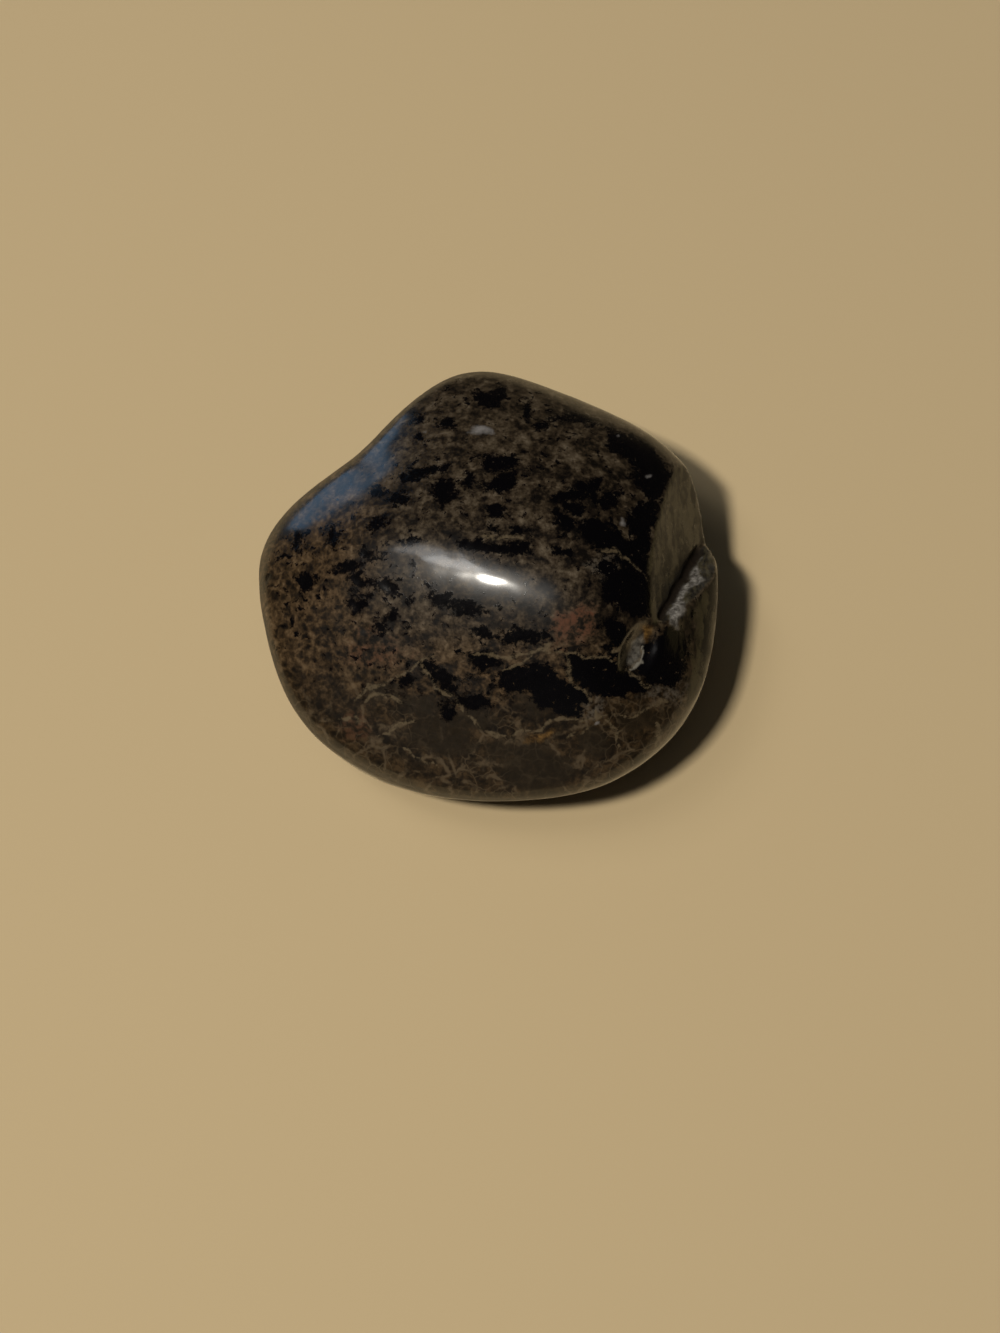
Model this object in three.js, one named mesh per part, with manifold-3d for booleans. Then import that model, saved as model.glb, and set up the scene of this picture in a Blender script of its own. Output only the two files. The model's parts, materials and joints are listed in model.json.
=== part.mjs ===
// A tumbled nuummite: one pebble of black and brown amphibole rock, polished all over.
// A tumbled stone starts as a broken lump with flat faces, and the tumbler wears its edges round.
// It is built the same way here: broken faces, worn edges, one hollow flank and two late breaks.
// Millimetres, +Z up. The origin is on the resting face, under the middle of the stone.
import * as THREE from "three";
import { mergeVertices } from "three/addons/utils/BufferGeometryUtils.js";
import Module from "manifold-3d";

// Size of the finished stone
const LENGTH = 32; // along X
const WIDTH = 30.6; // along Y
const HEIGHT = 17.5; // along Z

// The broken faces of the lump, seen from its heart at the level of the rim. Azimuth turns from +X
// towards +Y, and reach is how far out the face lies, as a share of half the length.
const RIDGE = {
  crown: { azimuth: 69, elevation: 84, reach: 0.66 },
  brow: { azimuth: -115, elevation: 58, reach: 0.602 },
};
const SLOPES = {
  left: { azimuth: 174, elevation: 48, reach: 0.84 },
  backLeft: { azimuth: 133, elevation: 66, reach: 0.725 },
  backRight: { azimuth: 65, elevation: 56, reach: 0.85 },
  right: { azimuth: -2, elevation: 46, reach: 0.83 },
  rightCheek: { azimuth: -42, elevation: 46, reach: 0.86 },
  chin: { azimuth: -88, elevation: 44, reach: 0.79 },
  leftCheek: { azimuth: -140, elevation: 48, reach: 0.8 },
};
const FLANKS = {
  left: { azimuth: 189, elevation: -6, reach: 0.935 },
  leftBack: { azimuth: 144, elevation: -6, reach: 1.167 },
  backLeft: { azimuth: 134, elevation: -6, reach: 0.869 },
  backRight: { azimuth: 63, elevation: -4, reach: 1.014 },
  tip: { azimuth: 25, elevation: -5, reach: 1.064 },
  right: { azimuth: -7, elevation: -8, reach: 0.967 },
  rightCheek: { azimuth: -45, elevation: -8, reach: 1.03 },
  chin: { azimuth: -95, elevation: -10, reach: 0.997 },
  leftCheek: { azimuth: -126, elevation: -8, reach: 0.961 },
};
const UNDERSIDE = {
  left: { azimuth: 190, elevation: -44, reach: 0.74 },
  back: { azimuth: 98, elevation: -46, reach: 0.7 },
  right: { azimuth: 12, elevation: -42, reach: 0.76 },
  front: { azimuth: -78, elevation: -45, reach: 0.73 },
  rest: { azimuth: 0, elevation: -90, reach: 0.44 },
};
const RIDGE_WEAR = 14; // how crisp the ridge between crown and brow is: higher is crisper
const FACE_WEAR = 8; // the same for the edges between the other faces of the dome
const FLANK_WEAR = 11; // the same for the edges below the rim
const RIM_WEAR = 28; // the same for the rim, where the slopes meet the flanks
const REST_CUT = 0.4; // how much of the underside is worn flat, where the stone lies

// The hollow that runs across the back left flank, as shares of the radius
const HOLLOW = { azimuth: 130, elevation: 8, depth: 0.065, across: 0.5, along: 0.3 };

// The late break: a splinter off the right flank, which left a steep, faintly hollow facet. The facet
// ends at a low ledge, whose foot runs from the rim up to the shoulder.
const BREAK = {
  azimuth: -7,
  elevation: 27,
  footLow: new THREE.Vector3(15.22, 3.6, 8),
  footHigh: new THREE.Vector3(12.37, -4, 13.2),
  hollow: 0.25,
  run: 16, // from the foot of the ledge to past the back of the stone
  ledgeHeight: 8, // more than the facet is deep
  ledgeLean: 10, // how far the ledge leans back from square to the facet, in degrees
};

// A small long flake off the right shoulder, in front of the ledge
const FLAKE = {
  azimuth: -36,
  elevation: 52,
  along: 65, // azimuth of its long way
  middle: new THREE.Vector3(10.2, -6.5, 13.4),
  radius: 2,
  stretch: 1.8,
  depth: 0.38,
};

const LUMP_STEPS = 18; // steps along each edge of the icosahedron that the lump starts from
// How much the corners of the lump close up at the rim, and over how many degrees from it
const RIM_DRAW = { share: 0.7, reach: 16 };
const RIM_SEARCH = { low: -30, high: 75, steps: 24 }; // degrees between which the rim lies
const ARC_STEPS = 12; // straight pieces in each curve of the tools that cut it

const wasm = await Module();
wasm.setup();

function heading(azimuth, elevation) {
  const turn = THREE.MathUtils.degToRad(azimuth);
  const rise = THREE.MathUtils.degToRad(elevation);
  return new THREE.Vector3(
    Math.cos(rise) * Math.cos(turn),
    Math.cos(rise) * Math.sin(turn),
    Math.sin(rise),
  );
}

// Closed meshes and solids
function bare(geometry) {
  geometry.deleteAttribute("normal");
  geometry.deleteAttribute("uv");
  return mergeVertices(geometry);
}

function solidOf(geometry) {
  return new wasm.Manifold(
    new wasm.Mesh({
      numProp: 3,
      vertProperties: geometry.getAttribute("position").array,
      triVerts: new Uint32Array(geometry.index.array),
    }),
  );
}

function geometryOf(solid) {
  const { vertProperties, triVerts } = solid.getMesh();
  return new THREE.BufferGeometry()
    .setAttribute("position", new THREE.BufferAttribute(vertProperties, 3))
    .setIndex(new THREE.BufferAttribute(triVerts, 1));
}

// The worn lump
function planesOf(faces) {
  return Object.values(faces).map(({ azimuth, elevation, reach }) => ({
    normal: heading(azimuth, elevation),
    distance: (reach * LENGTH) / 2,
  }));
}
const ridgePlanes = planesOf(RIDGE);
const slopePlanes = planesOf(SLOPES);
const lowerPlanes = [...planesOf(FLANKS), ...planesOf(UNDERSIDE)];

// A smooth maximum: the nearest face wins, and where two are about as near they share a round edge
function blend(values, wear) {
  return values.reduce((sum, value) => sum + Math.max(0, value) ** wear, 0) ** (1 / wear);
}

function nearnessOf(direction) {
  const nearness = ({ normal, distance }) => direction.dot(normal) / distance;
  const ridge = blend(ridgePlanes.map(nearness), RIDGE_WEAR);
  const dome = blend([ridge, ...slopePlanes.map(nearness)], FACE_WEAR);
  const lower = blend(lowerPlanes.map(nearness), FLANK_WEAR);
  return { dome, lower };
}

function wornRadius(direction) {
  const { dome, lower } = nearnessOf(direction);
  return 1 / blend([dome, lower], RIM_WEAR);
}

// The elevation of the rim at one azimuth: below it the flanks are nearer, above it the dome
function rimElevation(azimuth) {
  let { low, high } = RIM_SEARCH;
  for (let i = 0; i < RIM_SEARCH.steps; i++) {
    const middle = (low + high) / 2;
    const { dome, lower } = nearnessOf(heading(azimuth, middle));
    if (dome < lower) low = middle;
    else high = middle;
  }
  return (low + high) / 2;
}

// The stone turns quickly at its rim, so the corners of the mesh are drawn closer together there
function drawnToRim(direction) {
  const azimuth = THREE.MathUtils.radToDeg(Math.atan2(direction.y, direction.x));
  const rim = rimElevation(azimuth);
  const above = THREE.MathUtils.radToDeg(Math.asin(direction.z)) - rim;
  const drawn = RIM_DRAW.share * Math.exp(-((above / RIM_DRAW.reach) ** 2));
  return heading(azimuth, rim + above * (1 - drawn));
}

const hollowOut = heading(HOLLOW.azimuth, HOLLOW.elevation);
const hollowAlong = heading(HOLLOW.azimuth + 90, 0);
const hollowAcross = hollowOut.clone().cross(hollowAlong);
function hollowShare(direction) {
  if (direction.dot(hollowOut) < 0) return 0;
  const across = direction.dot(hollowAcross) / HOLLOW.across;
  const along = direction.dot(hollowAlong) / HOLLOW.along;
  return HOLLOW.depth * Math.exp(-across * across - along * along);
}

function wornLump() {
  const lump = bare(new THREE.IcosahedronGeometry(1, LUMP_STEPS - 1));
  const position = lump.getAttribute("position");
  const point = new THREE.Vector3();
  for (let i = 0; i < position.count; i++) {
    const direction = drawnToRim(point.fromBufferAttribute(position, i).normalize());
    point.copy(direction).multiplyScalar(wornRadius(direction) * (1 - hollowShare(direction)));
    position.setXYZ(i, point.x, point.y, point.z);
  }
  return lump;
}

function restedFlat(lump) {
  lump.computeBoundingBox();
  const top = lump.boundingBox.min.z + REST_CUT;
  const floor = new THREE.BoxGeometry(2 * LENGTH, 2 * WIDTH, HEIGHT);
  floor.translate(0, 0, top - HEIGHT / 2);
  return geometryOf(solidOf(lump).subtract(solidOf(bare(floor))));
}

function fitted(geometry) {
  geometry.computeBoundingBox();
  const box = geometry.boundingBox;
  const size = box.getSize(new THREE.Vector3());
  const middle = box.getCenter(new THREE.Vector3());
  return geometry
    .translate(-middle.x, -middle.y, -box.min.z)
    .scale(LENGTH / size.x, WIDTH / size.y, HEIGHT / size.z);
}

// The tool that splits off the splinter: its floor is the facet and its front wall is the ledge
function splinter() {
  const { run, hollow, ledgeHeight, ledgeLean } = BREAK;
  const lean = ledgeHeight * Math.tan(THREE.MathUtils.degToRad(ledgeLean));
  const profile = new THREE.Shape();
  profile.moveTo(0, 0);
  profile.quadraticCurveTo(run / 2, -2 * hollow, run, 0);
  profile.lineTo(run, ledgeHeight);
  profile.lineTo(-lean, ledgeHeight);
  profile.closePath();
  const depth = 2 * LENGTH;
  const tool = new THREE.ExtrudeGeometry(profile, {
    depth,
    bevelEnabled: false,
    curveSegments: ARC_STEPS,
  });
  tool.translate(0, 0, -depth / 2);

  const out = heading(BREAK.azimuth, BREAK.elevation);
  const foot = BREAK.footHigh.clone().sub(BREAK.footLow).projectOnPlane(out).normalize();
  const uphill = foot.clone().cross(out);
  const frame = new THREE.Matrix4().makeBasis(uphill, out, uphill.clone().cross(out));
  return tool.applyMatrix4(frame.setPosition(BREAK.footLow));
}

// The tool that scoops out the flake
function scoop() {
  const { radius, stretch, depth } = FLAKE;
  const ball = new THREE.SphereGeometry(radius, 4 * ARC_STEPS, 2 * ARC_STEPS);
  ball.scale(stretch, 1, 1);
  const out = heading(FLAKE.azimuth, FLAKE.elevation);
  const along = heading(FLAKE.along, 0).projectOnPlane(out).normalize();
  const frame = new THREE.Matrix4().makeBasis(along, out.clone().cross(along), out);
  return ball.applyMatrix4(
    frame.setPosition(out.multiplyScalar(radius - depth).add(FLAKE.middle)),
  );
}

const lump = fitted(restedFlat(wornLump()));
const broken = [splinter(), scoop()].reduce(
  (solid, tool) => solid.subtract(solidOf(bare(tool))),
  solidOf(lump),
);

const stone = new THREE.Mesh(
  geometryOf(broken),
  new THREE.MeshStandardMaterial({ color: 0x2e261f, roughness: 0.15, metalness: 0 }),
);
stone.name = "stone";

const nuummite = new THREE.Group();
nuummite.add(stone);
export default nuummite;
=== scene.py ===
# %% [markdown]
# # A tumbled nuummite
# Nuummite is a dark rock of black and brown amphibole crystals, and this one is a pebble from a
# tumbler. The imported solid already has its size, its faces, its ridge and its break, but it is made of
# flat triangles in one plain colour. Here it gets a fine, worn skin and the look of its minerals.

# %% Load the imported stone
import json
import math

import bpy
import numpy as np
from mathutils import Matrix, Vector, kdtree, noise as wander

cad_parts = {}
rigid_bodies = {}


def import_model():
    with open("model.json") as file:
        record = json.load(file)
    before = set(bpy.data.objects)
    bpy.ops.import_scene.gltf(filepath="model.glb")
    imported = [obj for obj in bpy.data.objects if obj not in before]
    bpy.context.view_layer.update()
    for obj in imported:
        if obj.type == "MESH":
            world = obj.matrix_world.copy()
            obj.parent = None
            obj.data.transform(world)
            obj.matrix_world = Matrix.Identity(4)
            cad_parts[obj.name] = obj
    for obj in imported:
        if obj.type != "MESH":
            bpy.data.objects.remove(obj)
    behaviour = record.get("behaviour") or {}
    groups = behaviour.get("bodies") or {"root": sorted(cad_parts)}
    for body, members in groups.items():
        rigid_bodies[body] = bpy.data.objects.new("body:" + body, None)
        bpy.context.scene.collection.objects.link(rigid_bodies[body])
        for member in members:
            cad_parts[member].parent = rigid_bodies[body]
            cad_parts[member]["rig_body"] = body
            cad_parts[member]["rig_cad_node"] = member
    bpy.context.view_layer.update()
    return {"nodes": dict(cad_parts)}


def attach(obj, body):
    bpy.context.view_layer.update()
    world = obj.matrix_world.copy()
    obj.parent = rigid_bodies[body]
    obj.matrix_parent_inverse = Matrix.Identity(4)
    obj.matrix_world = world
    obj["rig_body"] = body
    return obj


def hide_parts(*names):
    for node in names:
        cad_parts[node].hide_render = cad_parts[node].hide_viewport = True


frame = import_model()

MM = 0.001  # the frame is in metres, and a pebble is easier to think of in millimetres

# %% [markdown]
# ## The viewer
# The stone is looked down on steeply, from a hand's span away. A long lens from that distance keeps
# the near rim from swelling. The camera is placed by the height of its line of sight and its distance,
# so that it can be checked against the picture with two numbers.

# %% Camera
SIGHT_RISE = math.radians(70)
SIGHT_REACH = 220 * MM
SIGHT_AIM = Vector((0.81, -6.02, 9.0)) * MM
LENS = 86.0
NEAREST = 10 * MM  # what is closer than this isn't drawn

sight = Vector((0, -math.cos(SIGHT_RISE), math.sin(SIGHT_RISE)))
bpy.ops.object.camera_add(
    location=SIGHT_AIM + sight * SIGHT_REACH,
    rotation=(math.pi / 2 - SIGHT_RISE, 0, 0),
)
viewer = bpy.context.active_object
viewer.name = "viewer"
viewer.data.lens = LENS
viewer.data.clip_start = NEAREST
bpy.context.scene.camera = viewer
print("camera stands at", [round(c / MM, 1) for c in viewer.location], "mm")

# %% [markdown]
# ## The floor and the light
# A polished dark stone shows mostly what is around it, so the floor and the lamps are half of its look.
# The floor is pale and warm, and its light runs round the rim of the stone. A small warm lamp high on
# the left makes the bright head of the streak on the ridge, and two weak, larger ones beyond it draw
# its tail. A cool window low at the back fills the hollow flank. The room is dark apart from a faint
# glow in front, which veils the front face a little, and a patch of ceiling overhead, which greys the
# faces that lean towards the viewer. Lamps that are placed one by one can be moved until each
# reflection lies where it should, and a picture of a room can't.

# %% Floor
FLOOR_SIDE = 6.0
FLOOR_COLOUR = (0.58, 0.455, 0.27, 1)
FLOOR_ROUGHNESS = 0.9
FLOOR_SHINE = 0.1

bpy.ops.object.select_all(action="DESELECT")
bpy.ops.mesh.primitive_plane_add(size=FLOOR_SIDE)
floor = bpy.context.active_object
floor.name = "floor"
pale_floor = bpy.data.materials.new("pale_floor")
pale_floor.use_nodes = True
matt = pale_floor.node_tree.nodes["Principled BSDF"]
matt.inputs["Base Color"].default_value = FLOOR_COLOUR
matt.inputs["Roughness"].default_value = FLOOR_ROUGHNESS
matt.inputs["Specular IOR Level"].default_value = FLOOR_SHINE
floor.data.materials.append(pale_floor)
print("floor:", FLOOR_SIDE, "m a side")

# %% Lamps
LAMP_REACH = 0.6  # metres from the stone to each lamp


def side_of(degrees):
    """The side of a lamp that looks this wide from the stone."""
    return 2 * LAMP_REACH * math.tan(math.radians(degrees / 2))


def lamp(name, towards, along, wide, high, colour, power):
    """A flat lamp that faces the stone, its sides in degrees and its width along this azimuth."""
    way = Vector(towards).normalized()
    run = Vector((math.cos(math.radians(along)), math.sin(math.radians(along)), 0))
    run = (run - run.dot(way) * way).normalized()
    turn = Matrix((run, way.cross(run), way)).transposed()
    bpy.ops.object.light_add(
        type="AREA",
        location=SIGHT_AIM + way * LAMP_REACH,
        rotation=turn.to_euler(),
    )
    made = bpy.context.active_object
    made.name = name
    made.data.shape = "RECTANGLE"
    made.data.size = side_of(wide)
    made.data.size_y = side_of(high)
    made.data.color = colour
    made.data.energy = power
    return made


WARM_WHITE = (1.0, 0.94, 0.84)
WHITE = (1.0, 0.98, 0.95)
SKY_BLUE = (0.38, 0.66, 1.0)
lamps = [
    lamp("key", (-0.31, -0.25, 1.0), along=-25, wide=6, high=4, colour=WARM_WHITE, power=2.6),
    lamp("strip", (-0.41, -0.01, 1.0), along=-45, wide=13, high=9, colour=WHITE, power=0.3),
    lamp("tail", (-0.53, 0.2, 1.0), along=-45, wide=14, high=13, colour=WHITE, power=0.2),
    lamp("window", (-0.661, 0.734, 0.156), along=42, wide=26, high=13, colour=SKY_BLUE, power=0.17),
]
print("lamps:", [made.name for made in lamps])

# %% Room
ROOM_DARK = 0.01
ROOM_WHITE = (1.0, 0.97, 0.92, 1)
IN_FRONT = Vector((0.0, -1.0, 0.0))
FRONT_GLOW = 0.045
FRONT_SPREAD = (0.75, 0.97)  # cosines of the angles where the glow starts and where it is full
OVERHEAD = Vector((0.0, -0.18, 1.0)).normalized()
CEILING_GLOW = 0.45
CEILING_SPREAD = (0.955, 0.998)

room = bpy.data.worlds.new("dark_room")
bpy.context.scene.world = room
room.use_nodes = True
air = room.node_tree
around = air.nodes.new("ShaderNodeTexCoord").outputs["Generated"]


def glow(towards, spread, strength):
    """Light that grows towards one direction, by the cosine of the angle to it."""
    nearness = air.nodes.new("ShaderNodeVectorMath")
    nearness.operation = "DOT_PRODUCT"
    air.links.new(around, nearness.inputs[0])
    nearness.inputs[1].default_value = towards
    start, full = spread
    made = air.nodes.new("ShaderNodeMapRange")
    made.interpolation_type = "SMOOTHSTEP"
    made.inputs["From Min"].default_value = start
    made.inputs["From Max"].default_value = full
    made.inputs["To Max"].default_value = strength
    air.links.new(nearness.outputs["Value"], made.inputs["Value"])
    return made.outputs["Result"]


glows = air.nodes.new("ShaderNodeMath")
glows.operation = "ADD"
air.links.new(glow(IN_FRONT, FRONT_SPREAD, FRONT_GLOW), glows.inputs[0])
air.links.new(glow(OVERHEAD, CEILING_SPREAD, CEILING_GLOW), glows.inputs[1])
lit = air.nodes.new("ShaderNodeMath")
lit.operation = "ADD"
air.links.new(glows.outputs[0], lit.inputs[0])
lit.inputs[1].default_value = ROOM_DARK
sky = air.nodes["Background"]
sky.inputs["Color"].default_value = ROOM_WHITE
air.links.new(lit.outputs[0], sky.inputs["Strength"])
bpy.context.scene.view_settings.view_transform = "Standard"
print("room: front", FRONT_GLOW, "and ceiling", CEILING_GLOW)

# %% [markdown]
# ## A fine skin
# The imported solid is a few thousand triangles, and on a polished stone each of them would flash by
# itself. A subdivision surface would follow those triangles and pinch where the break cuts across
# them. A voxel remesh lays an even skin over the whole shape instead. The solid's own mesh stays as it
# is: a copy is merged first, and its sharp edges are noted while they can still be found by angle.

# %% Copy and merge the solid
MERGE_WITHIN = 0.001 * MM
BREAK_ANGLE = math.radians(27)

rough = frame["nodes"]["stone"]
bpy.ops.object.select_all(action="DESELECT")
rough.select_set(True)
bpy.context.view_layer.objects.active = rough
bpy.ops.object.duplicate()
pebble = bpy.context.active_object
bpy.ops.object.parent_clear(type="CLEAR_KEEP_TRANSFORM")
pebble.name = "polished_stone"
pebble.data.name = "polished_stone"
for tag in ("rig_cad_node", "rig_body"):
    del pebble[tag]

bpy.ops.object.mode_set(mode="EDIT")
bpy.ops.mesh.select_all(action="SELECT")
bpy.ops.mesh.remove_doubles(threshold=MERGE_WITHIN)
bpy.ops.mesh.select_mode(type="EDGE")
bpy.ops.mesh.select_all(action="DESELECT")
bpy.ops.mesh.edges_select_sharp(sharpness=BREAK_ANGLE)
bpy.ops.object.mode_set(mode="OBJECT")
print("merged copy:", len(pebble.data.vertices), "corners")

# %% Note the broken edges
EDGE_STEP = 0.1  # mm between the noted points

edge_points = []
for edge in pebble.data.edges:
    if edge.select:
        start, end = (pebble.data.vertices[corner].co / MM for corner in edge.vertices)
        steps = max(1, round((end - start).length / EDGE_STEP))
        edge_points += [start.lerp(end, step / steps) for step in range(steps + 1)]
broken_edges = kdtree.KDTree(len(edge_points))
for index, point in enumerate(edge_points):
    broken_edges.insert(point, index)
broken_edges.balance()
print("broken edges:", len(edge_points), "points")

# %% Remesh
SKIN_STEP = 0.2 * MM


def finish_with(piece, name, kind, **settings):
    """Adds a modifier with these settings and applies it."""
    modifier = piece.modifiers.new(name, kind)
    for setting, value in settings.items():
        setattr(modifier, setting, value)
    bpy.ops.object.modifier_apply(modifier=modifier.name)


finish_with(pebble, "even skin", "REMESH", mode="VOXEL", voxel_size=SKIN_STEP)
print("even skin:", len(pebble.data.polygons), "faces")

# %% [markdown]
# ## Worn by the tumbler
# In the barrel, grit rubs the lumps off every broad face, while a late break keeps its edges for
# longer. Smoothing does the same to a mesh. A vertex group holds the long smoothing away from the
# broken edges, and from most of the rim, which is crisp everywhere but in front. Then one short pass
# over everything takes the burr off them too.


# %% Read and paint the skin
def points_of(piece):
    """The places of a mesh's corners, in mm, one row each."""
    flat = np.empty(3 * len(piece.data.vertices), np.float32)
    piece.data.vertices.foreach_get("co", flat)
    return flat.reshape(-1, 3) / MM


def normals_of(piece):
    """The directions that a mesh's corners face, one row each."""
    flat = np.empty(3 * len(piece.data.vertices), np.float32)
    piece.data.vertex_normals.foreach_get("vector", flat)
    return flat.reshape(-1, 3)


def eased(values, start, end):
    """0 before start, 1 past end, and a soft step between them."""
    share = np.clip((values - start) / (end - start), 0, 1)
    return share * share * (3 - 2 * share)


WEIGHT_LEVELS = 20


def paint_group(piece, name, weights):
    """A vertex group, painted in a few levels."""
    group = piece.vertex_groups.new(name=name)
    levels = np.round(weights * WEIGHT_LEVELS).astype(int)
    for level in range(1, WEIGHT_LEVELS + 1):
        corners = np.flatnonzero(levels == level).tolist()
        group.add(corners, level / WEIGHT_LEVELS, "REPLACE")
    return group.name


from_edge = np.array([broken_edges.find(point)[2] for point in points_of(pebble)])
print("skin within 1 mm of a broken edge:", int((from_edge < 1).sum()), "corners")

# %% Smooth
EDGE_SPARED = (0.25, 1.0)  # mm from a broken edge: no long smoothing yet, and all of it
RIM_SPARED = 0.65  # share of the long smoothing that the rim is spared
RIM_ABOVE = (0.8, 0.65)  # how far up the skin faces where the rim ends above
RIM_BELOW = (-0.1, 0.05)  # and where it ends below
NOT_IN_FRONT = (-0.7, -0.3)  # how far back the skin faces where the rim begins to be spared
SMOOTHING = 0.5
LONG_PASSES = 36
SHORT_PASSES = 6

outward = normals_of(pebble)
on_rim = eased(outward[:, 2], *RIM_ABOVE) * eased(outward[:, 2], *RIM_BELOW)
on_rim *= eased(outward[:, 1], *NOT_IN_FRONT)
worn = paint_group(pebble, "worn", eased(from_edge, *EDGE_SPARED) * (1 - RIM_SPARED * on_rim))
finish_with(pebble, "tumbled", "SMOOTH", factor=SMOOTHING, iterations=LONG_PASSES, vertex_group=worn)
finish_with(pebble, "burr off", "SMOOTH", factor=SMOOTHING, iterations=SHORT_PASSES)
bpy.ops.object.shade_smooth()
print("worn stone in mm:", [round(side / MM, 2) for side in pebble.dimensions])

# %% [markdown]
# ## Waves in the polish
# No tumbled face is quite flat, and the lamp's streak on the ridge wavers because of it. A Displace
# modifier with a soft cloud moves the skin in and out by a few hundredths of a millimetre, which is
# little enough to keep the outline and enough to bend a reflection. A bump in the shader would bend it
# too, but would be missing from the mesh.

# %% Displace
WAVE_SIZE = 3.0 * MM
WAVE_HEIGHT = 0.07 * MM
WAVE_DETAIL = 1


def cloud(name, size, detail):
    """A procedural cloud for a Displace modifier, with lumps of this size."""
    made = bpy.data.textures.new(name, "CLOUDS")
    made.noise_scale = size
    made.noise_depth = detail
    return made


finish_with(
    pebble,
    "waves",
    "DISPLACE",
    texture=cloud("polish_waves", WAVE_SIZE, WAVE_DETAIL),
    texture_coords="LOCAL",
    strength=WAVE_HEIGHT,
)
print("waved stone in mm:", [round(side / MM, 2) for side in pebble.dimensions])

# %% [markdown]
# ## The ledge
# The ledge at the front of the break never took a polish. Its wall is a grey, sugary fracture, and a
# dark slit runs along its foot. Both are found from the line of the foot: the wall is what lies near it
# and faces away from it, and the slit is what lies on it. One Displace sinks the slit, and another with
# a fine cloud roughens the wall.

# %% Find its foot
BREAK_OUT = np.array((0.8844, -0.1086, 0.4540))  # the way that the facet faces
FOOT_LOW = np.array((15.22, 3.6, 8.0))  # mm, the lower end of the foot
FOOT_RUN = np.array((-2.85, -7.6, 5.2))  # mm, from there to its upper end
WALL_LEAN = math.radians(10)
SLIT_OFF = 0.15  # mm from the foot of the wall to the middle of the slit


def from_line(points, start, end):
    """How far each point is from a straight line between two places."""
    run = end - start
    along = np.clip((points - start) @ run / (run @ run), 0, 1)
    return np.linalg.norm(points - start - along[:, None] * run, axis=1)


foot_run = FOOT_RUN - (FOOT_RUN @ BREAK_OUT) * BREAK_OUT
uphill = np.cross(foot_run / np.linalg.norm(foot_run), BREAK_OUT)
wall_out = uphill * math.cos(WALL_LEAN) + BREAK_OUT * math.sin(WALL_LEAN)
foot = FOOT_LOW + SLIT_OFF * uphill
skin = points_of(pebble)
from_foot = from_line(skin, foot, foot + foot_run)
along_foot = (skin - FOOT_LOW) @ foot_run / (foot_run @ foot_run)
print("foot:", round(float(np.linalg.norm(foot_run)), 2), "mm long, wall facing", wall_out.round(2))

# %% Tell the wall, the slit and the facet apart
WALL_REACH = (2.6, 1.8)  # mm from the foot: past the wall, and on it
WALL_FACING = (0.66, 0.84)  # cosine of the angle to the way that the wall faces
FACET_FACING = (0.9, 0.96)  # the same for the facet
WALL_SIDE = (0.1, -0.15)  # mm uphill of the slit: on the facet, and on the wall
RAGGED = 0.2  # mm by which the sides of the slit waver
SLIT_WIDTH = (0.45, 0.15)  # mm from the foot: beside the slit, and in it
SLIT_START = (0.0, 0.16)  # share of the foot along which the slit opens

outward = normals_of(pebble)
beyond = eased((skin - foot) @ uphill, *WALL_SIDE)
on_wall = eased(from_foot, *WALL_REACH) * eased(outward @ wall_out, *WALL_FACING)
ragged = np.array([wander.noise(Vector(point)) for point in skin])
on_slit = eased(from_foot + RAGGED * ragged, *SLIT_WIDTH) * eased(along_foot, *SLIT_START)
on_facet = eased(outward @ BREAK_OUT, *FACET_FACING) * (1 - on_slit)
print("ledge:", int((on_wall > 0.5).sum()), "corners, slit:", int((on_slit > 0.5).sum()))

# %% Cut the slit and roughen the ledge
SLIT_DEPTH = 0.22 * MM
SUGAR_SIZE = 0.4 * MM
SUGAR_HEIGHT = 0.22 * MM
SUGAR_DETAIL = 2
SUGAR_START = (0.05, 0.3)  # share of the foot along which the wall grows rough

slit = paint_group(pebble, "slit", on_slit)
finish_with(pebble, "slit", "DISPLACE", mid_level=0, strength=-SLIT_DEPTH, vertex_group=slit)
ledge = paint_group(pebble, "ledge", on_wall * eased(along_foot, *SUGAR_START))
finish_with(
    pebble,
    "sugar",
    "DISPLACE",
    texture=cloud("fracture_sugar", SUGAR_SIZE, SUGAR_DETAIL),
    texture_coords="LOCAL",
    strength=SUGAR_HEIGHT,
    vertex_group=ledge,
)
print("rough ledge:", len(pebble.data.polygons), "faces in all")

# %% [markdown]
# ## Where the minerals lie
# The large black crystals, the pale veins and the rusty stains lie in certain places on this stone, and
# small ones are scattered anywhere. The large ones are drawn on a sheet held square to the
# viewer's line of sight, in millimetres across and up it: outlines for the large crystals, ovals for
# the small ones and bent lines for the veins. The sheet is crumpled a little first, because no crystal
# ends at a straight line. Each corner of the skin keeps how deep inside a mark it lies.

# %% The crumpled sheet
CRUMPLES = ((1.6, 0.45), (0.6, 0.22))  # mm: how far apart the crumples are, and how large
SEED = 5  # the crumples are the same at each run
SEEN = (0.05, 0.3)  # cosine of the angle to the line of sight: no mark yet, and all of it
FAR = 3.0  # mm, as far from a mark as the skin keeps count

skin = points_of(pebble)
outward = normals_of(pebble)
sheet = skin @ np.array(((1, 0), (0, math.sin(SIGHT_RISE)), (0, math.cos(SIGHT_RISE))))
flat_sheet = sheet.copy()
wander.seed_set(SEED)
corners = [Vector(point) for point in skin]
for apart, size in CRUMPLES:
    sheet += size * np.array([wander.noise_vector(corner / apart)[:2] for corner in corners])
facing = outward @ np.array(sight)
towards_viewer = eased(facing, *SEEN)
print("crumpled by up to", round(float(np.abs(sheet - flat_sheet).max()), 2), "mm")


# %% Ways to draw on it
def keep(name, values):
    """Keeps one number at each corner of the skin, for the shader to read."""
    layer = pebble.data.attributes.new(name, "FLOAT", "POINT")
    layer.data.foreach_set("value", values.astype(np.float32))
    print(f"{name}: {values.min():.2f} to {values.max():.2f}")


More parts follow.
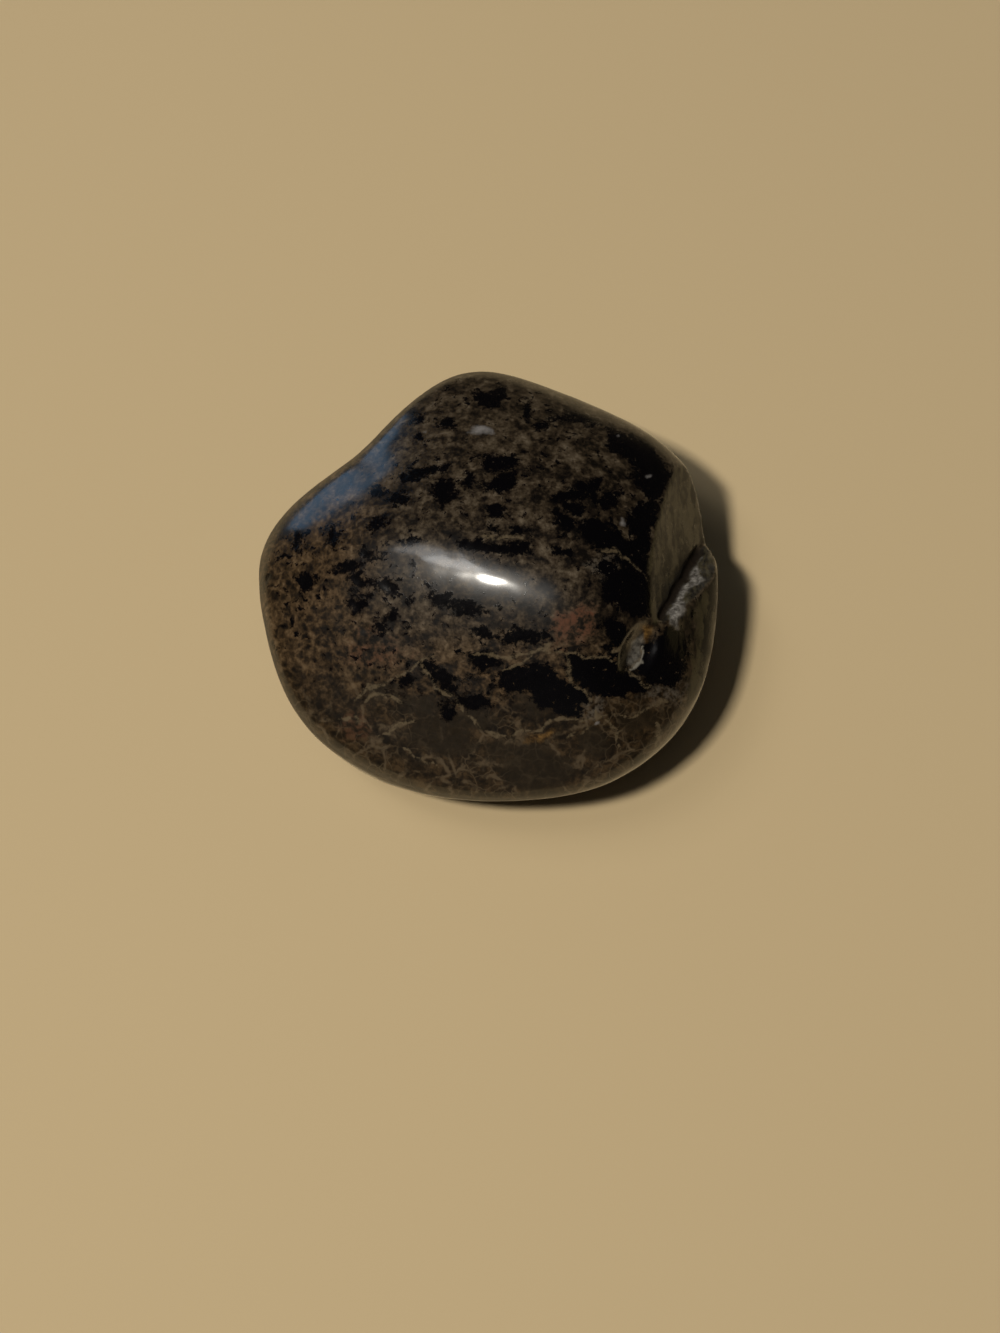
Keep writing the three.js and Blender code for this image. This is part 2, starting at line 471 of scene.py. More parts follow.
def seen_only(depths):
    """Marks on the side that the viewer sees, and none behind it."""
    return depths * towards_viewer - FAR * (1 - towards_viewer)


def in_ovals(ovals):
    """How deep each corner lies inside the nearest oval, in mm, and below 0 outside."""
    deepest = np.full(len(sheet), -FAR)
    for across, up, half_long, half_wide, turn in ovals:
        cos, sin = math.cos(math.radians(turn)), math.sin(math.radians(turn))
        right, rise = sheet[:, 0] - across, sheet[:, 1] - up
        far = np.hypot(
            (right * cos + rise * sin) / half_long,
            (rise * cos - right * sin) / half_wide,
        )
        deepest = np.maximum(deepest, (1 - far) * min(half_long, half_wide))
    return seen_only(deepest)


def in_outlines(outlines):
    """The same for outlines with corners."""
    deepest = np.full(len(sheet), -FAR)
    for outline in outlines:
        to_edge = np.full(len(sheet), FAR)
        within = np.zeros(len(sheet), bool)
        for start, end in zip(outline, outline[1:] + outline[:1]):
            to_edge = np.minimum(to_edge, from_line(sheet, np.array(start), np.array(end)))
            if start[1] != end[1]:
                spans = (sheet[:, 1] < start[1]) != (sheet[:, 1] < end[1])
                share = (sheet[:, 1] - start[1]) / (end[1] - start[1])
                within ^= spans & (sheet[:, 0] < start[0] + share * (end[0] - start[0]))
        deepest = np.maximum(deepest, np.where(within, to_edge, -to_edge))
    return seen_only(deepest)


def from_lines(lines):
    """How far each corner is from the nearest of these bent lines, in mm."""
    nearest = np.full(len(sheet), FAR)
    for line in lines:
        for start, end in zip(line, line[1:]):
            nearest = np.minimum(nearest, from_line(sheet, np.array(start), np.array(end)))
    return nearest * towards_viewer + FAR * (1 - towards_viewer)


# %% Large black crystals
CROWN_CRYSTALS = [
    [(-1.0, 16.6), (0.3, 16.8), (1.2, 16.6), (1.0, 15.7), (0.3, 15.4), (-0.6, 15.7)],
    [(-2.1, 5.8), (-0.4, 5.9), (1.1, 5.4), (2.8, 5.7), (2.8, 5.0), (0.9, 4.8), (-0.6, 5.2)],
    [(-0.4, 11.6), (2.1, 11.7), (2.0, 11.0), (1.1, 10.7), (0.0, 10.9)],
    [(0.0, 10.1), (1.8, 10.5), (1.8, 9.4), (0.9, 9.1), (-0.3, 9.6)],
    [(-6.0, 10.5), (-4.8, 10.9), (-2.7, 11.1), (-3.1, 10.6), (-5.0, 10.2), (-5.7, 10.0)],
    [(-3.9, 9.6), (-2.3, 9.9), (-2.2, 9.1), (-2.7, 8.6), (-3.5, 9.1)],
    [(4.3, 9.1), (5.9, 9.6), (7.6, 10.1), (7.4, 9.2), (5.9, 8.8), (4.5, 8.6)],
    [(7.2, 8.9), (8.7, 9.1), (8.9, 8.2), (7.8, 8.1)],
    [(4.3, 5.7), (5.7, 5.4), (5.6, 4.8), (4.5, 5.0)],
]
SHOULDER_CRYSTALS = [
    [(8.3, 14.0), (9.5, 13.6), (11.2, 12.8), (12.2, 11.8), (12.4, 10.9), (12.2, 9.4), (11.5, 8.5),
     (10.7, 9.4), (9.8, 10.1), (10.3, 10.9), (10.0, 11.6), (8.6, 12.3), (8.1, 13.1)],
    [(10.1, 8.5), (11.3, 8.7), (11.6, 8.0), (11.2, 6.6), (10.9, 5.5), (10.5, 4.7), (9.6, 5.5),
     (10.0, 6.6), (9.2, 7.3), (9.6, 8.1)],
    [(5.9, 7.4), (7.1, 7.2), (8.6, 6.9), (8.9, 6.2), (10.4, 5.5), (11.0, 4.6), (10.6, 3.9), (9.0, 4.8),
     (7.8, 5.3), (6.7, 5.9), (6.1, 6.6)],
    [(7.7, 2.9), (8.5, 3.6), (9.4, 3.9), (10.5, 3.8), (11.1, 2.8), (11.1, 1.5), (10.2, 1.0), (9.1, 1.2),
     (7.9, 1.7)],
    [(8.2, 5.4), (9.2, 5.2), (10.2, 4.4), (11.2, 3.6), (10.8, 3.1), (9.6, 3.9), (8.9, 4.6)],
]
FRONT_CRYSTALS = [
    [(5.0, -1.6), (6.2, -1.8), (7.8, -2.1), (9.3, -3.0), (11.1, -3.9), (10.5, -4.4), (8.7, -4.6),
     (7.6, -4.4), (6.2, -4.0), (5.5, -2.9)],
    [(9.6, -2.4), (10.7, -1.7), (11.6, -0.9), (12.0, -0.1), (13.5, -0.3), (13.9, -1.6), (13.5, -3.0),
     (12.4, -4.0), (11.0, -3.5), (10.0, -2.9)],
    [(2.4, -2.7), (4.1, -2.3), (5.0, -3.2), (5.9, -4.1), (6.5, -4.7), (6.0, -5.8), (4.8, -5.8),
     (3.5, -5.5), (2.7, -4.3)],
    [(0.6, -3.0), (1.6, -2.5), (2.5, -2.7), (2.6, -3.9), (1.6, -4.3), (0.7, -4.0)],
    [(7.8, 0.4), (9.3, 0.2), (9.6, -0.7), (8.5, -1.2), (7.7, -0.7)],
    [(7.7, -1.4), (9.6, -1.6), (9.9, -2.3), (8.3, -2.0)],
    [(-1.3, -1.9), (0.4, -1.6), (0.8, -2.3), (-0.5, -2.8)],
]
large = in_outlines(CROWN_CRYSTALS + SHOULDER_CRYSTALS + FRONT_CRYSTALS)
print("large crystals cover", int((large > 0).sum()), "corners")

# %% Small black crystals
# For each oval: its place across and up, half its length, half its width, and its turn in degrees.
CROWN_GRAINS = [
    (-2.8, 14.3, 0.48, 0.34, -20), (-4.9, 14.6, 0.41, 0.24, 10), (-4.7, 13.1, 0.41, 0.24, -30),
    (-6.1, 8.7, 0.69, 0.41, -10), (-7.6, 9.3, 0.48, 0.27, 20), (-7.3, 6.9, 0.55, 0.48, 20),
    (0.5, 7.8, 0.48, 0.27, -10), (0.2, 6.8, 0.34, 0.27, 0), (1.8, 6.5, 0.62, 0.27, 5),
    (2.7, 15.3, 0.27, 0.55, 0), (3.8, 14.0, 0.55, 0.31, 0), (6.4, 14.6, 1.65, 0.21, -2),
    (5.8, 8.2, 0.62, 0.24, -15), (5.2, 7.2, 0.34, 0.69, 20), (6.7, 7.0, 0.75, 0.34, -15),
    (8.2, 4.0, 0.62, 0.62, 0), (-1.3, 10.2, 0.34, 0.41, 0),
]
PLUCKED_GRAINS = [
    (-10.6, 6.2, 0.34, 0.41, 0), (-13.0, 5.8, 0.27, 0.55, 0), (-9.5, 4.0, 0.69, 0.31, 12),
    (-8.2, 5.1, 0.48, 0.27, -25), (-8.6, 3.4, 0.62, 0.24, -5), (-12.4, 3.2, 0.48, 0.55, -40),
    (-8.9, 1.6, 0.55, 0.31, -10), (-6.8, 2.8, 0.62, 0.31, -30), (-8.3, 2.3, 0.48, 0.21, 0),
]
LEFT_GRAINS = [
    (-7.3, -0.1, 0.34, 0.34, 0), (-6.6, 0.7, 0.55, 0.31, 20), (-3.2, 2.1, 0.75, 0.31, -20),
    (-1.7, 1.3, 1.03, 0.31, -8),
]
FRONT_GRAINS = [
    (2.3, -0.5, 1.3, 0.4, -5), (-0.4, -0.3, 0.65, 0.28, -5), (-4.0, -2.7, 0.48, 0.31, -25),
    (-3.1, -3.4, 0.75, 0.41, -35), (-0.9, -4.9, 0.96, 0.41, 0), (-2.7, -4.4, 0.34, 0.41, 0),
    (-5.6, -3.4, 0.55, 0.34, 15), (-2.8, -5.6, 0.41, 0.41, 0),
]
GROWN = 0.12  # mm, by which the edges of the crystals reach past the drawn lines
small = in_ovals(CROWN_GRAINS + PLUCKED_GRAINS + LEFT_GRAINS + FRONT_GRAINS)
keep("black", np.maximum(large, small) + GROWN)

# %% Veins
VEINS = [
    [(0.8, -2.9), (2.4, -2.4), (3.1, -1.8), (4.0, -1.0)],
    [(-1.1, -1.8), (1.3, -1.8), (3.7, -1.4), (6.2, -1.78), (7.77, -2.12), (9.41, -3.08), (11.06, -4.04)],
    [(7.8, -1.6), (9.7, -0.9)],
    [(9.3, -2.9), (10.2, -2.1), (11.0, -1.4)],
    [(-2.16, -4.88), (-1.41, -5.91), (-0.32, -6.6), (0.92, -7.22), (2.29, -7.08), (4.0, -6.59),
     (5.71, -6.04), (7.56, -5.97), (9.14, -5.83), (10.85, -5.49), (12.22, -5.14)],
    [(8.18, -6.31), (8.73, -7.14), (8.86, -8.38)],
    [(5.44, -7.69), (5.99, -7.0), (7.08, -6.59)],
    [(11.53, -6.59), (11.67, -7.68)],
    [(5.2, -1.8), (5.7, -3.7), (6.9, -5.1), (7.6, -6.3)],
    [(-9.22, -4.89), (-8.53, -4.27), (-7.03, -3.65), (-5.66, -2.82), (-3.74, -2.0)],
    [(-8.4, -4.89), (-7.85, -4.27), (-6.89, -4.41), (-6.2, -5.0)],
    [(-7.58, -7.5), (-6.48, -6.81), (-4.91, -6.19)],
    [(-10.04, -6.47), (-9.22, -5.92), (-8.54, -6.2)],
    [(-5.66, -8.19), (-4.57, -9.08), (-3.47, -9.63)],
    [(-4.4, -2.6), (-3.5, -4.0), (-2.4, -4.9)],
    [(7.78, 5.37), (8.74, 5.1), (9.69, 4.41), (11.06, 3.31)],
    [(-0.24, 6.05), (0.93, 6.05), (2.37, 5.92)],
]
FLAKE_EDGE = [[(9.5, -2.8), (10.2, -2.3), (10.9, -1.5)]]
keep("vein", from_lines(VEINS))
keep("flake", from_lines(FLAKE_EDGE))

# %% Amber and glass
AMBER_STRIPE = [[(10.38, 0.29), (11.06, 0.43), (11.33, -0.26), (11.06, -1.09), (10.51, -1.09)]]
AMBER_SPOTS = [(3.5, -7.4, 0.65, 0.28, 10)]
FLAKE_GLASS = [
    [(9.41, -2.05), (9.83, -1.09), (10.58, -0.12), (10.92, -1.22), (10.24, -2.05), (9.62, -2.74)],
]
keep("amber", np.maximum(in_ovals(AMBER_SPOTS), in_outlines(AMBER_STRIPE)))
keep("glass", in_outlines(FLAKE_GLASS))

# %% Stains, spots and painted glints
RUST_STAINS = [
    (5.9, 0.2, 1.7, 1.1, 25), (-7.85, -1.66, 1.6, 0.7, 0), (-8.1, -0.4, 0.41, 0.34, 0),
    (-9.1, -6.6, 0.9, 0.8, 0),
]
PALE_SPOTS = [
    (7.1, -5.2, 0.7, 0.8, 0), (12.4, -4.4, 1.1, 0.5, 10), (8.0, 4.1, 0.9, 0.8, 0),
    (12.43, -1.63, 0.25, 0.2, 0), (12.02, -3.01, 0.4, 0.22, 0), (7.08, -3.02, 0.15, 0.35, -25),
    (6.54, -2.67, 0.15, 0.2, 0),
]
# Painted glints: small pale spots that stand for the lamp caught in tiny pits and flats of the polish.
PAINTED_GLINTS = [
    (-4.2, 13.7, 0.12, 0.12, 0), (-0.4, 13.6, 0.6, 0.2, -10), (10.7, 10.7, 0.1, 0.1, 0),
    (9.0, 7.2, 0.15, 0.15, 0), (8.8, 13.3, 0.1, 0.1, 0), (7.56, -6.45, 0.12, 0.12, 0),
]
keep("rust", in_ovals(RUST_STAINS))
keep("pale", in_ovals(PALE_SPOTS))
keep("painted_glint", in_ovals(PAINTED_GLINTS))

# %% Darker places
OLIVE_CELLS = [
    (3.31, -9.4, 2.5, 1.6, -5), (7.1, -7.7, 1.0, 1.2, 0), (10.5, -6.4, 1.5, 0.8, 10),
    (-3.2, -7.4, 2.2, 1.3, -10), (3.2, -5.0, 1.4, 0.9, -20), (-1.0, -6.0, 1.5, 0.7, -10),
    (-4.7, -5.1, 1.5, 0.8, -10), (-6.6, -4.2, 1.3, 0.7, 20), (0.8, -8.2, 1.5, 0.7, 5),
]
DUSKY = [
    (7.6, 6.4, 3.2, 2.8, -20), (8.6, 2.0, 2.6, 2.4, 0), (4.0, -4.5, 3.0, 1.8, -25),
    (9.0, -3.0, 4.0, 1.8, -15), (6.0, 9.2, 3.4, 1.4, 0), (10.5, 11.0, 2.5, 2.5, 0),
    (1.4, -4.2, 3.2, 2.2, -15), (-3.0, -4.6, 3.4, 2.0, -15), (-0.3, 2.4, 4.8, 2.2, -20),
]
DUSK_FADE = (-0.6, 0.8)  # mm inside an oval: no dusk yet, and all of it
keep("olive", in_ovals(OLIVE_CELLS))
keep("dusk", eased(in_ovals(DUSKY), *DUSK_FADE))

# %% [markdown]
# ## Where one finish gives way to another
# The break looks like another rock, and the front and the left of the stone are warmer than the rest.
# These finishes are broad and have soft borders, so most of them need no outline: each is a soft step
# in the way that the skin faces, or in its place on the flat sheet. They are kept at the corners as
# well, because the shader can't tell the wall of the ledge from the facet beside it.

# %% The break
GREY_BAND = [
    [(14.7, 6.0), (14.9, 5.2), (14.5, 4.3), (14.9, 3.5), (14.2, 3.0), (13.6, 2.4), (13.2, 1.4),
     (12.9, 0.1), (12.3, 0.2), (12.1, 1.2), (12.6, 2.4), (13.3, 3.6), (14.0, 5.0)],
]
BAND_FADE = (-0.15, 0.15)  # mm inside the band: not grey yet, and all grey
WALL_GREY = 0.1  # how grey the wall is beside the band
band = eased(in_outlines(GREY_BAND), *BAND_FADE)
keep("fracture", np.maximum(WALL_GREY * on_wall, band) * beyond * (1 - on_slit))
keep("crack", on_slit)
keep("facet", np.maximum(on_facet, on_wall))
keep("foot", from_foot)

# %% Front, left, back and rim
FRONT_BOW = 0.15  # how much lower the front's border lies for each mm to the side
FRONT_FADE = (-3.0, -8.0)  # mm up the sheet: not the front yet, and all front
WARM_LEFT = (-5.0, -11.0)  # mm across it, in the same way
WARM_FRONT = (2.0, -4.0)
RIM_TURN = (0.55, 0.35)  # cosine of the angle to the line of sight, where the rim's last turn begins
RIM_END = (0.08, 0.2)  # and where it ends
RIM_LEFT = (0.45, -0.05)  # how far to the right the skin faces: not rubbed yet, and all rubbed

across, up = flat_sheet.T
keep("front", eased(up - FRONT_BOW * np.abs(across), *FRONT_FADE))
keep("warm", np.maximum(eased(across, *WARM_LEFT), eased(up, *WARM_FRONT)))
keep("hidden", 1 - towards_viewer)
last_turn = eased(facing, *RIM_TURN) * eased(facing, *RIM_END)
keep("rim", last_turn * eased(outward[:, 0], *RIM_LEFT))

# %% [markdown]
# ## Pits
# Soft grains are plucked out in the tumbler and leave shallow dents, most of all among the small dark
# crystals of the left side. They are sunk into the skin itself, so that they catch the light. A few
# more are strewn over the whole stone by a noise that rarely rises so high.

# %% Sink them
DENT_DEPTH = 0.035 * MM
DENT_FADE = (-0.1, 0.25)  # mm inside a plucked grain
PIT_APART = 1.3  # mm between the lumps of the noise
PIT_RISE = (0.62, 0.8)  # how high the noise rises at the edge of a pit and in it
EDGE_CLEAR = (0.4, 0.8)  # mm from a broken edge: no pits yet, and all of them

dents = eased(in_ovals(PLUCKED_GRAINS), *DENT_FADE)
strewn = np.array([wander.noise(corner / PIT_APART) for corner in corners])
pits = np.maximum(dents, eased(strewn, *PIT_RISE)) * eased(from_edge, *EDGE_CLEAR)
dented = paint_group(pebble, "dents", pits)
finish_with(pebble, "dents", "DISPLACE", mid_level=0, strength=-DENT_DEPTH, vertex_group=dented)
print("dents:", int((pits > 0.5).sum()), "corners")

# %% [markdown]
# ## The polished rock
# The shader is built from the ground up, as the rock is: a grainy ground, then the minerals in it, and
# the polish last. A painted picture could hold the same colours, but it would blur close up and leave
# the back bare. So noise makes the grain, and the kept numbers say where the large minerals lie. All
# the patterns read Object coordinates, so they stay with the stone.

# %% Material
nuummite = bpy.data.materials.new("polished_nuummite")
nuummite.use_nodes = True
rock = nuummite.node_tree
shader = rock.nodes["Principled BSDF"]
pebble.data.materials.clear()
pebble.data.materials.append(nuummite)
print("material:", nuummite.name)


# %% Sums with nodes
def feed(socket, value):
    """Sets a socket to a number or colour, or wires another socket into it."""
    if isinstance(value, bpy.types.NodeSocket):
        rock.links.new(value, socket)
    else:
        socket.default_value = value


def maths(operation, first, second):
    """One sum of two numbers."""
    made = rock.nodes.new("ShaderNodeMath")
    made.operation = operation
    feed(made.inputs[0], first)
    feed(made.inputs[1], second)
    return made.outputs[0]


def plus(first, second):
    return maths("ADD", first, second)


def minus(first, second):
    return maths("SUBTRACT", first, second)


def times(first, second):
    return maths("MULTIPLY", first, second)


def larger(first, second):
    return maths("MAXIMUM", first, second)


def vector_maths(operation, first, second):
    """The same for places."""
    made = rock.nodes.new("ShaderNodeVectorMath")
    made.operation = operation
    feed(made.inputs[0], first)
    feed(made.inputs["Scale" if operation == "SCALE" else 1], second)
    return made.outputs["Vector"]


def step(value, start, end):
    """0 before start, 1 past end, soft between them."""
    made = rock.nodes.new("ShaderNodeMapRange")
    made.interpolation_type = "SMOOTHSTEP"
    feed(made.inputs["Value"], value)
    feed(made.inputs["From Min"], start)
    feed(made.inputs["From Max"], end)
    return made.outputs["Result"]


# %% Patterns and colours with nodes
def noise(where, scale, detail, roughness=0.6, output="Fac"):
    """Grain of this many lumps to a millimetre."""
    made = rock.nodes.new("ShaderNodeTexNoise")
    feed(made.inputs["Vector"], where)
    feed(made.inputs["Scale"], scale)
    feed(made.inputs["Detail"], detail)
    feed(made.inputs["Roughness"], roughness)
    return made.outputs[output]


def kept(name):
    """Reads a number that the skin keeps at its corners."""
    made = rock.nodes.new("ShaderNodeAttribute")
    made.attribute_name = name
    return made.outputs["Fac"]


def mixed(share, under, over):
    """One colour laid over another."""
    made = rock.nodes.new("ShaderNodeMix")
    made.data_type = "RGBA"
    feed(made.inputs["Factor"], share)
    feed(made.inputs["A"], under)
    feed(made.inputs["B"], over)
    return made.outputs["Result"]


def ramp(value, stops):
    """A run of colours, each at its place between 0 and 1."""
    made = rock.nodes.new("ShaderNodeValToRGB")
    while len(made.color_ramp.elements) < len(stops):
        made.color_ramp.elements.new(1.0)
    for stop, (at, colour) in zip(made.color_ramp.elements, stops):
        stop.position = at
        stop.color = (*colour, 1)
    feed(made.inputs["Fac"], value)
    return made.outputs["Color"]


# %% Coordinates
MIDDLE = 0.5  # a noise rises and falls about this value
BEND = 0.9  # mm between the furthest that a pattern is bent one way and the other
place = vector_maths("SCALE", rock.nodes.new("ShaderNodeTexCoord").outputs["Object"], 1 / MM)
swirl = noise(place, scale=0.9, detail=2, output="Color")
off_middle = vector_maths("SUBTRACT", swirl, (MIDDLE, MIDDLE, MIDDLE))
bent = vector_maths("ADD", place, vector_maths("SCALE", off_middle, BEND))
print("patterns bend by", BEND / 2, "mm at most")

# %% [markdown]
# ## The ground
# Between its crystals the rock is a grainy taupe, which turns to umber on the left and in front. The low
# front face is a smoother brown with a net of pale threads in it. Each of the three is a run of
# colours over the same grain, so that the grain carries on where one fades into the next.

# %% Grain
CLUMP_SHARE = 0.55
SPECK_SHARE = 0.45
NET_REACH = 0.15  # how far from the border of a cell the grain is raised
NET_SHARE = 0.26
NET_PLAIN = 0.4  # how clear the net is on the taupe
NET_WARMER = 0.6  # and how much clearer on the umber
DUSK_SHARE = 0.04

clump = noise(bent, scale=0.8, detail=5, roughness=0.62)
speck = noise(place, scale=2.4, detail=5, roughness=0.68)
drift = noise(place, scale=0.25, detail=3)
warm = kept("warm")


def net(cells):
    """How far a point is from the borders of irregular cells, this many to a millimetre."""
    made = rock.nodes.new("ShaderNodeTexVoronoi")
    made.feature = "DISTANCE_TO_EDGE"
    feed(made.inputs["Vector"], bent)
    feed(made.inputs["Scale"], cells)
    return made.outputs["Distance"]


even = plus(times(clump, CLUMP_SHARE), times(speck, SPECK_SHARE))
clearness = plus(times(warm, NET_WARMER), NET_PLAIN)
wormy = times(minus(NET_REACH, net(cells=1.5)), clearness)
netted = plus(even, times(wormy, NET_SHARE))
grain = minus(netted, times(kept("dusk"), DUSK_SHARE))
print("grain: clumps, specks and a net")

# %% Taupe and umber
TAUPE = (
    (0.40, (0.0035, 0.0023, 0.0015)),
    (0.455, (0.0125, 0.0082, 0.0046)),
    (0.51, (0.034, 0.0235, 0.0132)),
    (0.58, (0.071, 0.053, 0.0335)),
    (0.66, (0.125, 0.098, 0.067)),
)
UMBER = (
    (0.40, (0.0041, 0.0022, 0.0009)),
    (0.455, (0.0136, 0.0077, 0.0031)),
    (0.51, (0.0345, 0.0203, 0.0085)),
    (0.58, (0.074, 0.045, 0.021)),
    (0.66, (0.126, 0.083, 0.043)),
)
ground = mixed(warm, ramp(grain, TAUPE), ramp(grain, UMBER))
print("ground:", len(TAUPE), "taupes and", len(UMBER), "umbers")

# %% Brown front
BROWN = (
    (0.40, (0.0064, 0.0037, 0.0014)),
    (0.50, (0.0160, 0.0095, 0.0038)),
    (0.62, (0.049, 0.030, 0.0135)),
)
THREAD = (0.088, 0.064, 0.038, 1)
THREAD_SHARE = 0.8
FINE_SHARE = 0.6  # how clear the fine threads are beside the coarse ones

coarse_net = step(net(cells=0.42), start=0.07, end=0.01)
fine_net = step(net(cells=0.95), start=0.06, end=0.01)
coarse = times(coarse_net, step(clump, start=0.42, end=0.6))
fine = times(fine_net, step(drift, start=0.42, end=0.56))
threads = larger(coarse, times(fine, FINE_SHARE))
brown = mixed(times(threads, THREAD_SHARE), ramp(grain, BROWN), THREAD)
front = kept("front")
colour = mixed(front, ground, brown)
print("front:", len(BROWN), "browns and a net of threads")

# %% [markdown]
# ## The minerals
# The crystals, stains and veins are laid over the ground one by one, each by the number that the skin
# keeps for it. A hard edge would look painted on, so noise frays every edge, and a finer one nibbles at
# the black crystals as well. What lies on top comes last: the pale veins cross the black.

# %% Frayed edges
fray = minus(noise(place, scale=2.0, detail=4, roughness=0.65), MIDDLE)
nibble = minus(noise(bent, scale=3.4, detail=4, roughness=0.7), MIDDLE)


def frayed(name, amount, soft, edge=fray):
    """A placed mark, with its edge frayed by noise."""
    reach = plus(kept(name), times(edge, amount))
    return step(reach, start=-soft, end=soft)


def drawn_line(name, amount, side, core):
    """A placed line with frayed sides: none of it at its side, and all of it in its core."""
    far = plus(kept(name), times(fray, amount))
    return step(far, start=side, end=core)


print("edges: frayed and nibbled")

# %% Olive cells, rust and pale spots
OLIVE = (0.0155, 0.0105, 0.0052, 1)
OLIVE_SHARE = 0.75
RUST = (0.098, 0.036, 0.018, 1)
RUST_SHARE = 0.95
WARM_HIDES = 0.6  # how much less of the rust shows on the umber
PALE = (0.095, 0.080, 0.062, 1)
PALE_SHARE = 0.8

olive = frayed("olive", amount=1.6, soft=0.3)
colour = mixed(times(olive, OLIVE_SHARE), colour, OLIVE)
rust = times(frayed("rust", amount=2.4, soft=0.6), step(grain, start=0.45, end=0.58))
rusty = times(rust, minus(RUST_SHARE, times(warm, WARM_HIDES)))
colour = mixed(rusty, colour, RUST)
pale = times(frayed("pale", amount=2.2, soft=0.5), step(speck, start=0.4, end=0.58))
colour = mixed(times(pale, PALE_SHARE), colour, PALE)
print("stains: olive, rust and pale")

# %% Black crystals
BLACK = (0.0012, 0.0009, 0.0014, 1)
DRIFT_SHARE = 0.25  # how much the scattered crystals gather in some places
FRONT_BARE = 0.9  # how much fewer of them the front has

drawn = frayed("black", amount=1.1, soft=0.15, edge=plus(fray, nibble))
gathered = plus(noise(bent, scale=1.5, detail=5, roughness=0.65), times(drift, DRIFT_SHARE))
scattered = times(step(gathered, start=0.695, end=0.77), minus(1.0, times(front, FRONT_BARE)))
at_the_back = times(step(drift, start=0.56, end=0.6), kept("hidden"))
black = larger(larger(drawn, scattered), at_the_back)
flecked = times(black, step(speck, start=0.70, end=0.64))
colour = mixed(flecked, colour, BLACK)
print("black crystals: drawn, scattered and hidden ones")

# %% Veins, amber, glass and painted glints
VEIN = (0.11, 0.083, 0.048, 1)
VEIN_SHARE = 0.8
AMBER = ((0.4, (0.045, 0.022, 0.006)), (0.6, (0.175, 0.095, 0.026)))
AMBER_SHARE = 0.85
GLASS = ((0.38, (0.04, 0.036, 0.03)), (0.62, (0.15, 0.14, 0.12)))
GLASS_SHARE = 0.8
FLAKE = (0.2, 0.185, 0.155, 1)
# The colour of the painted glints, a painted highlight.
GLINT_PAINT = (0.2, 0.19, 0.185, 1)

vein = drawn_line("vein", amount=0.45, side=0.16, core=0.03)
broken_vein = times(vein, step(speck, start=0.36, end=0.52))
colour = mixed(times(broken_vein, VEIN_SHARE), colour, VEIN)
amber = frayed("amber", amount=0.7, soft=0.25)
colour = mixed(times(amber, AMBER_SHARE), colour, ramp(speck, AMBER))
glass = frayed("glass", amount=0.5, soft=0.2)
colour = mixed(times(glass, GLASS_SHARE), colour, ramp(speck, GLASS))
colour = mixed(drawn_line("flake", amount=0.3, side=0.13, core=0.01), colour, FLAKE)
# The painted glints go on last: pale spots where tiny flats would catch the lamp.
colour = mixed(frayed("painted_glint", amount=0.35, soft=0.15), colour, GLINT_PAINT)
print("veins: over the black, so that they cross it")

# %% [markdown]
# ## The break and the polish
# The facet of the break is olive tan with dark streaks, which are partly scratches and partly a painted
# reflection of the mottled floor; its ledge is grey sugar and the slit is nearly black. The polish is
# two shines. A soft one belongs to the rock and greys the brow, and a sharp one is the coat, which shows
# the lamps and the floor. One shine alone would be a mirror or a matt stone. The coat is missing from
# the ledge, thin on the facet, and rubbed on the last turn of the rim, which would otherwise mirror the
# floor as a broad pale line.

# %% Facet and ledge
STREAK_STRETCH = (2.4, 0.35, 0.5)  # the streaks run along the facet, from the ledge to the back
# Tan with dark streaks: partly scratches, partly a painted reflection of the mottled floor.
TAN_AND_PAINTED_REFLECTION = ((0.44, (0.0025, 0.0019, 0.0009)), (0.56, (0.038, 0.0312, 0.0143)))
SUGAR = (
    (0.36, (0.05, 0.044, 0.038)),
    (0.52, (0.165, 0.155, 0.14)),
    (0.66, (0.33, 0.315, 0.29)),
)
CRACK = (0.010, 0.006, 0.003, 1)

streaks = noise(vector_maths("MULTIPLY", bent, STREAK_STRETCH), scale=1.0, detail=4)
facet = kept("facet")
colour = mixed(facet, colour, ramp(streaks, TAN_AND_PAINTED_REFLECTION))
fracture = kept("fracture")
colour = mixed(fracture, colour, ramp(speck, SUGAR))
crack = kept("crack")
colour = mixed(crack, colour, CRACK)
feed(shader.inputs["Base Color"], colour)
print("facet: streaked, ledge: grey sugar, slit: dark")

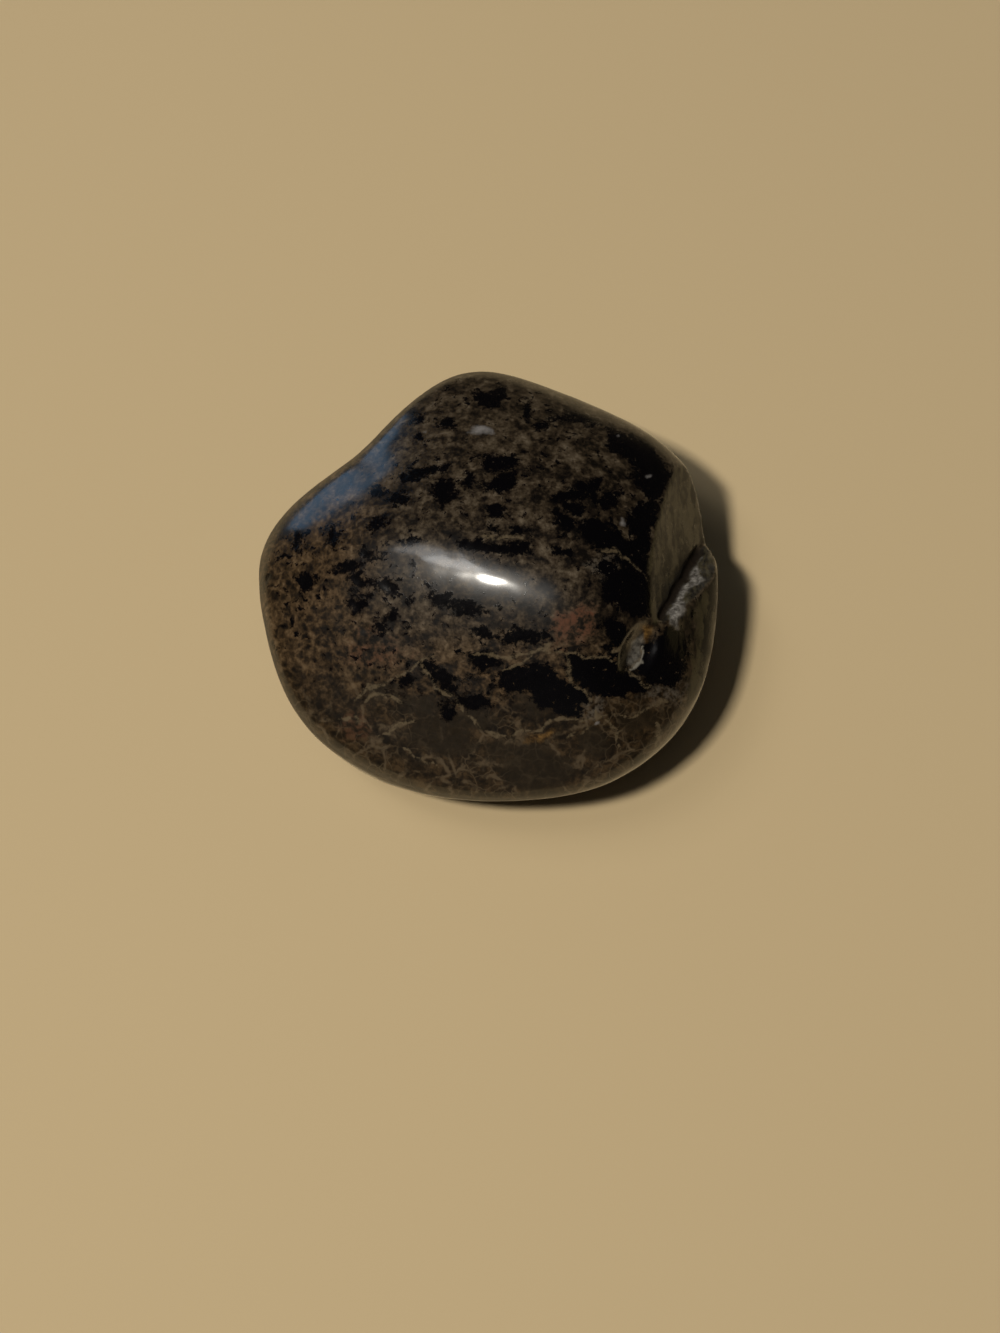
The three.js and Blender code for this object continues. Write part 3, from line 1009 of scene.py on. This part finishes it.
# %% Soft shine
LEAST_ROUGH = 0.25
SPECK_ROUGH = 0.3
BLACK_GLOSS = 0.2
DULL_ROUGH = 0.4
ROCK_SHINE = 0.24

dull = larger(fracture, crack)
soft_shine = plus(times(speck, SPECK_ROUGH), LEAST_ROUGH)
glossier = minus(soft_shine, times(black, BLACK_GLOSS))
feed(shader.inputs["Roughness"], plus(glossier, times(dull, DULL_ROUGH)))
shader.inputs["Specular IOR Level"].default_value = ROCK_SHINE
print("soft shine: between", LEAST_ROUGH, "rough and", LEAST_ROUGH + SPECK_ROUGH)

# %% Sharp shine
STREAK_POLISH = 0.22
FAR_POLISH = 0.1  # what the facet gains away from the foot of the ledge
RIM_RUBBED = 0.85
COAT_ROUGHNESS = 0.15
COAT_IOR = 1.5

streaky = step(streaks, start=0.45, end=0.55)
away = step(kept("foot"), start=1.0, end=5.0)
polish = plus(times(streaky, STREAK_POLISH), times(away, FAR_POLISH))
scuffed = times(facet, minus(1.0, polish))
rubbed = larger(scuffed, times(kept("rim"), RIM_RUBBED))
feed(shader.inputs["Coat Weight"], minus(1.0, larger(dull, rubbed)))
shader.inputs["Coat Roughness"].default_value = COAT_ROUGHNESS
shader.inputs["Coat IOR"].default_value = COAT_IOR
print("sharp shine: a coat of roughness", COAT_ROUGHNESS)

# %% Relief
RELIEF_HEIGHT = 0.015 * MM
RELIEF_SHARE = 0.5
BLACK_STANDS = 0.4  # how much the hard black crystals stand out of the polish

relief = rock.nodes.new("ShaderNodeBump")
feed(relief.inputs["Height"], plus(speck, times(black, BLACK_STANDS)))
relief.inputs["Distance"].default_value = RELIEF_HEIGHT
relief.inputs["Strength"].default_value = RELIEF_SHARE
feed(shader.inputs["Normal"], relief.outputs["Normal"])
print("rock:", len(rock.nodes), "nodes")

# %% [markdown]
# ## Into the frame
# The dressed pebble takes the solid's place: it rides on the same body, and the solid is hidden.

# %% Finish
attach(pebble, "root")
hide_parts("stone")
